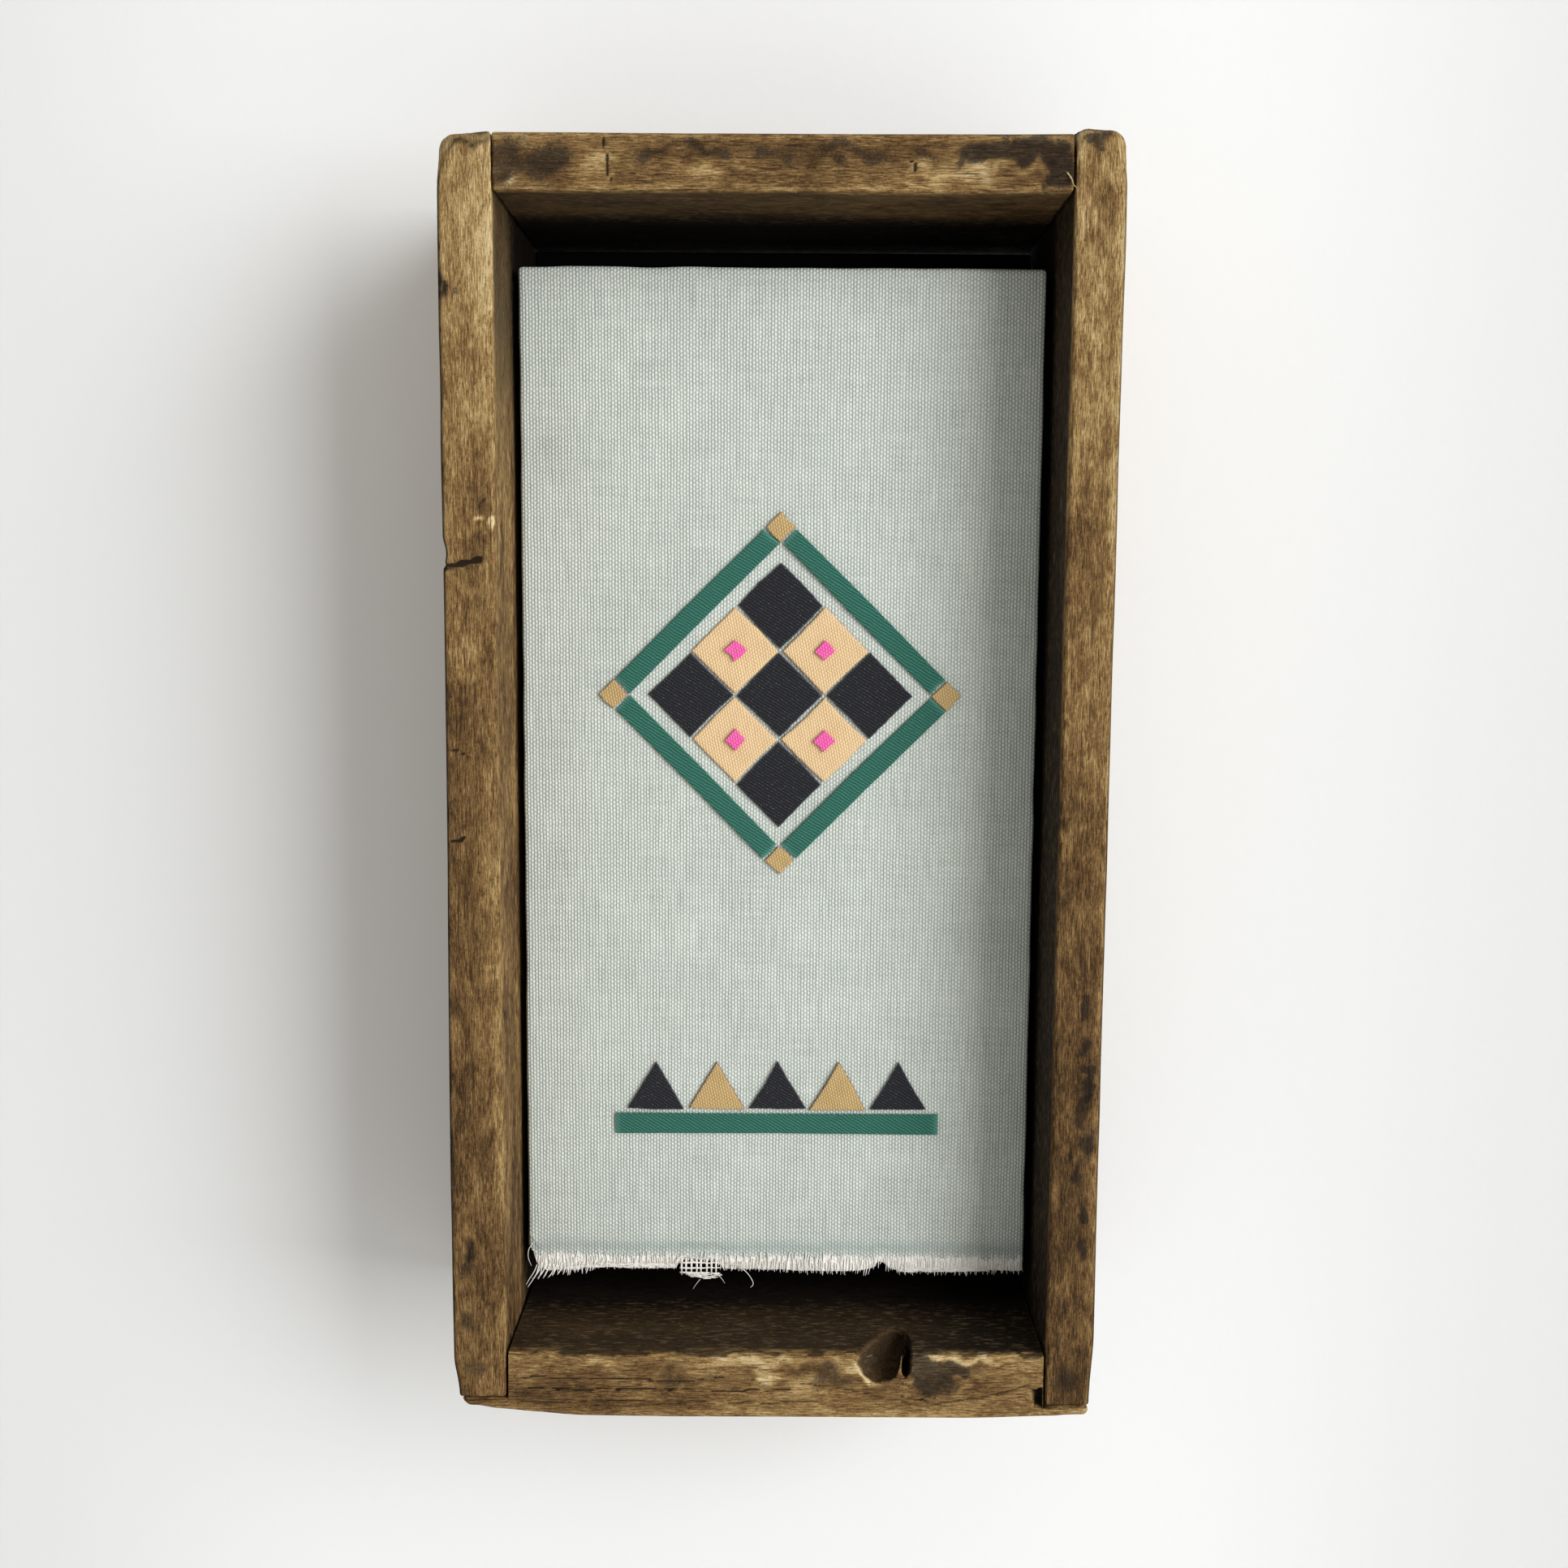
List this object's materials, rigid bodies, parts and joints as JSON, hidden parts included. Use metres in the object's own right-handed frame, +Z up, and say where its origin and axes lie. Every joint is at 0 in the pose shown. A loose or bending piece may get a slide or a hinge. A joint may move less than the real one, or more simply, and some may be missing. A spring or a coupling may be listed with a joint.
{
  "type": "box-framed fabric picture",
  "caption": "Deep old wooden box hung upright as a frame, with a linen-covered panel set back inside it that bears a plain patchwork block.",
  "frame": {"origin": "the hanger's middle notch, in the plane of the box's rear rim, which is the wall's face", "axes": "+Z up as hung, +X to the viewer's right, the open front faces -Y and the wall is on the +Y side"},
  "size_m": [0.1513, 0.0749, 0.2954],
  "materials": {
    "old_wood": "bare, dark with age and handling, worn paler along the edges, matt to slightly waxy",
    "plywood": "bare, matt",
    "pine": "planed, bare, matt",
    "linen": "plain weave linen, sage grey, its raw threads off-white",
    "black_twill": "black cotton twill",
    "cream_cotton": "cream cotton twill",
    "tan_cotton": "tan cotton, brown along its cut edges",
    "teal_cotton": "teal green cotton",
    "pink_cotton": "bright pink cotton",
    "iron": "old wire nails, brown with rust",
    "steel": "zinc-plated, slightly dull"
  },
  "bodies": {
    "root": {"side_board_left": "old_wood", "side_board_right": "old_wood", "top_board": "old_wood", "bottom_board": "old_wood", "back_board": "plywood", "panel_face": "plywood", "panel_stile_left": "pine", "panel_stile_right": "pine", "panel_rail_top": "pine", "panel_rail_bottom": "pine", "linen_cover": "linen", "square_1_1": "black_twill", "square_1_2": "cream_cotton", "square_1_3": "black_twill", "square_2_1": "cream_cotton", "square_2_2": "black_twill", "square_2_3": "cream_cotton", "square_3_1": "black_twill", "square_3_2": "cream_cotton", "square_3_3": "black_twill", "small_square_1": "pink_cotton", "small_square_2": "pink_cotton", "small_square_3": "pink_cotton", "small_square_4": "pink_cotton", "border_strip_1": "teal_cotton", "border_strip_2": "teal_cotton", "border_strip_3": "teal_cotton", "border_strip_4": "teal_cotton", "border_corner_1": "tan_cotton", "border_corner_2": "tan_cotton", "border_corner_3": "tan_cotton", "border_corner_4": "tan_cotton", "row_strip": "teal_cotton", "triangle_1": "black_twill", "triangle_2": "tan_cotton", "triangle_3": "black_twill", "triangle_4": "tan_cotton", "triangle_5": "black_twill", "nail_top_left_1": "iron", "nail_top_left_2": "iron", "nail_top_right_1": "iron", "nail_top_right_2": "iron", "nail_bottom_left_1": "iron", "nail_bottom_left_2": "iron", "nail_bottom_right_1": "iron", "nail_bottom_right_2": "iron", "back_pin_left_1": "iron", "back_pin_left_2": "iron", "back_pin_right_1": "iron", "back_pin_right_2": "iron", "panel_screw_left_1": "steel", "panel_screw_left_2": "steel", "panel_screw_right_1": "steel", "panel_screw_right_2": "steel", "hanger": "steel", "hanger_pin_left": "iron", "hanger_pin_right": "iron"}
  },
  "joints": []
}
